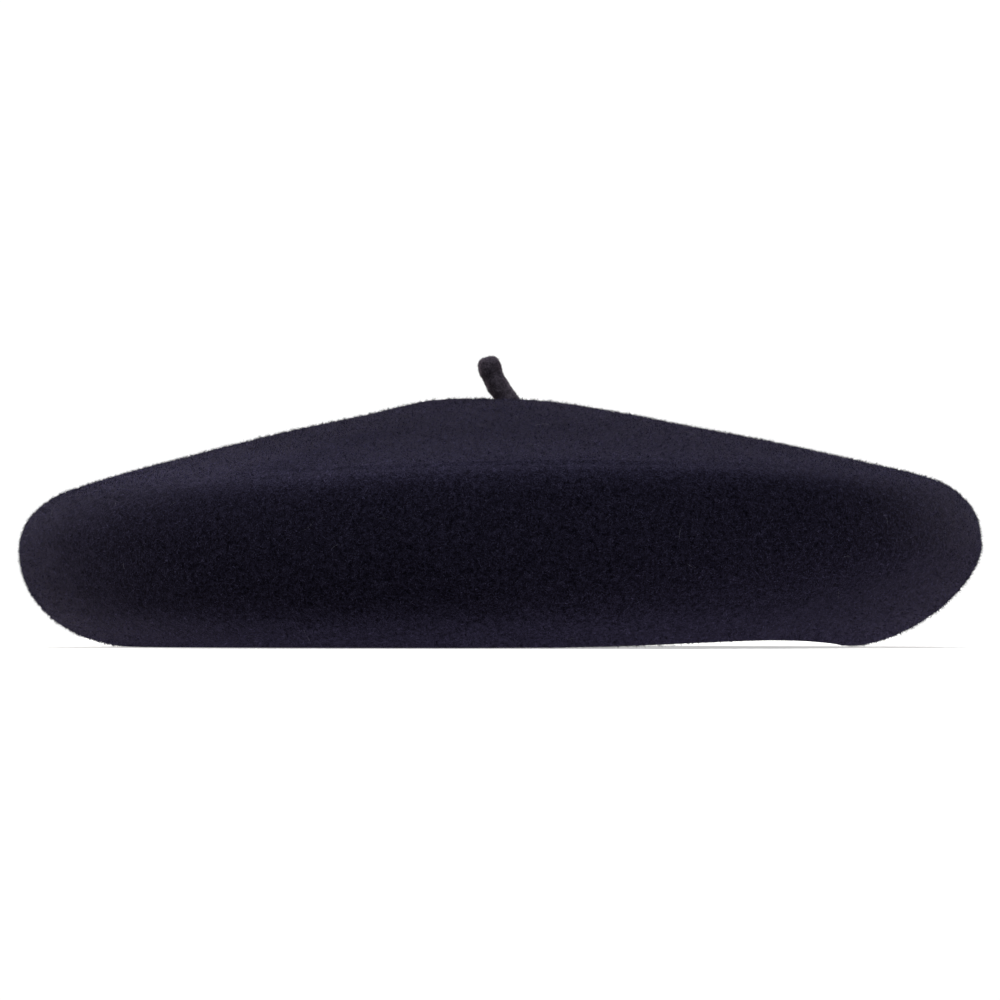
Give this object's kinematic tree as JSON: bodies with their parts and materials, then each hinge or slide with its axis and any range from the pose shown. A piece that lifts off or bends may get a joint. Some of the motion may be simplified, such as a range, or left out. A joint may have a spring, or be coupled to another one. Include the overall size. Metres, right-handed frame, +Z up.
{
  "type": "beret",
  "caption": "Round wool felt beret with a short felt stalk, a leather sweatband at the head opening, and a sewn satin lining.",
  "frame": {"origin": "centre of the head opening, on the plane of the flat hem that the beret rests on", "axes": "+Z up through the crown, +Y to the back, where the sweatband's two ends meet, and +X to the wearer's right"},
  "size_m": [0.262, 0.262, 0.0794],
  "materials": {
    "wool_felt": "matte",
    "stalk_felt": "matte",
    "sweatband_leather": "satin",
    "lining_satin": "satin",
    "thread": "satin",
    "ribbon": "satin",
    "label_cloth": "matte"
  },
  "bodies": {
    "beret": {"felt_shell": "wool_felt", "stalk_stitches": "thread", "sweatband": "sweatband_leather", "sweatband_stitches": "thread", "sweatband_join_stitches": "thread", "bow_ribbon": "ribbon", "bow_knot": "ribbon", "lining_crown": "lining_satin", "lining_side": "lining_satin", "lining_seam_stitches": "thread", "lining_hem_stitches": "thread", "woven_label": "label_cloth", "woven_label_stitches": "thread", "care_label_stitches": "thread"},
    "stalk": {"stalk": "stalk_felt"},
    "care_label": {"care_label": "label_cloth"}
  },
  "joints": [
    {"name": "stalk_lean", "type": "hinge", "parent": "beret", "child": "stalk", "pos_m": [0, 0, 0.0689], "axis": [0, 1, 0], "range_deg": [-30, 75], "stiffness_Nm_per_rad": 0.002},
    {"name": "care_label_swing", "type": "hinge", "parent": "beret", "child": "care_label", "pos_m": [0, 0.112, 0.04213], "axis": [1, 0, 0], "range_deg": [-80, 25]}
  ]
}
